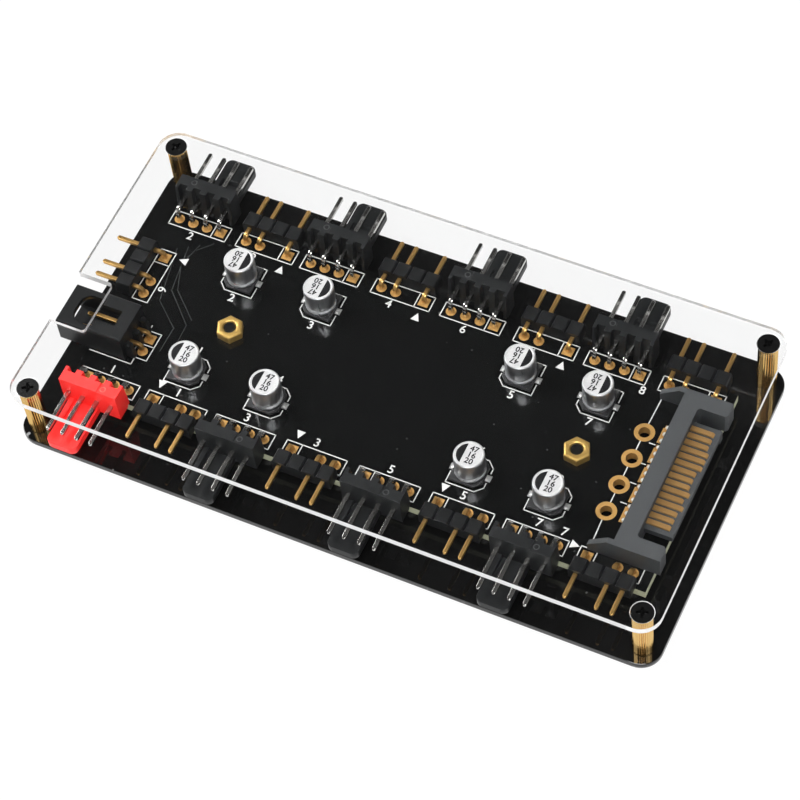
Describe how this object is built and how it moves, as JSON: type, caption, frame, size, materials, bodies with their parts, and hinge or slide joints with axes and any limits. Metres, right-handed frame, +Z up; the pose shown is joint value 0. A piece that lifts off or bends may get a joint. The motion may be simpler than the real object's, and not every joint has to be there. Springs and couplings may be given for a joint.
{
  "type": "pc fan controller hub",
  "caption": "Flat hub board between a black base plate and a clear cover on brass standoffs, with angled fan and lighting headers along both edges and a flat power plug at one end.",
  "frame": {"origin": "middle of the base plate on its underside", "axes": "+X along the long side towards the power plug, +Y towards the back edge, +Z up through the cover"},
  "size_m": [0.11, 0.0604, 0.0124],
  "materials": {
    "black_acrylic": "polished black sheet",
    "clear_acrylic": "polished clear sheet",
    "brass": "turned and knurled",
    "black_screw": "black oxide",
    "solder_mask": "black solder mask with a soft sheen",
    "black_nylon": "plain turned spacer",
    "header_black": "satin moulding",
    "header_grey": "satin moulding",
    "header_red": "satin moulding",
    "gilt_pin": "gold flash",
    "gilt_contact": "gold flash",
    "tin_pin": "tin plated",
    "tin": "tin plated",
    "plug_housing": "fine grained moulding",
    "foot_black": "satin moulding",
    "can_aluminium": "brushed can with a pale printed top"
  },
  "bodies": {
    "root": {"base_plate": "black_acrylic", "base_screws": "black_screw", "board_nuts": "brass", "board_screws": "black_screw", "board_spacers": "black_nylon", "capacitor_can_1": "can_aluminium", "capacitor_can_2": "can_aluminium", "capacitor_can_3": "can_aluminium", "capacitor_can_4": "can_aluminium", "capacitor_can_5": "can_aluminium", "capacitor_can_6": "can_aluminium", "capacitor_can_7": "can_aluminium", "capacitor_can_8": "can_aluminium", "capacitor_feet": "foot_black", "capacitor_terminals": "tin", "circuit_board": "solder_mask", "corner_standoffs": "brass", "cover_plate": "clear_acrylic", "cover_screws": "black_screw", "fan_header_1": "header_red", "fan_header_2": "header_grey", "fan_header_3": "header_grey", "fan_header_4": "header_grey", "fan_header_5": "header_grey", "fan_header_6": "header_grey", "fan_header_7": "header_grey", "fan_header_8": "header_grey", "fan_pins_1": "tin_pin", "fan_pins_2": "tin_pin", "fan_pins_3": "tin_pin", "fan_pins_4": "tin_pin", "fan_pins_5": "tin_pin", "fan_pins_6": "tin_pin", "fan_pins_7": "tin_pin", "fan_pins_8": "tin_pin", "input_header": "header_black", "input_pins": "gilt_pin", "latch_header": "header_black", "latch_pins": "gilt_pin", "led_header_1": "header_black", "led_header_2": "header_black", "led_header_3": "header_black", "led_header_4": "header_black", "led_header_5": "header_black", "led_header_6": "header_black", "led_header_7": "header_black", "led_header_8": "header_black", "led_pins_1": "gilt_pin", "led_pins_2": "gilt_pin", "led_pins_3": "gilt_pin", "led_pins_4": "gilt_pin", "led_pins_5": "gilt_pin", "led_pins_6": "gilt_pin", "led_pins_7": "gilt_pin", "led_pins_8": "gilt_pin", "power_plug_contacts": "gilt_contact", "power_plug_housing": "plug_housing"}
  },
  "joints": []
}
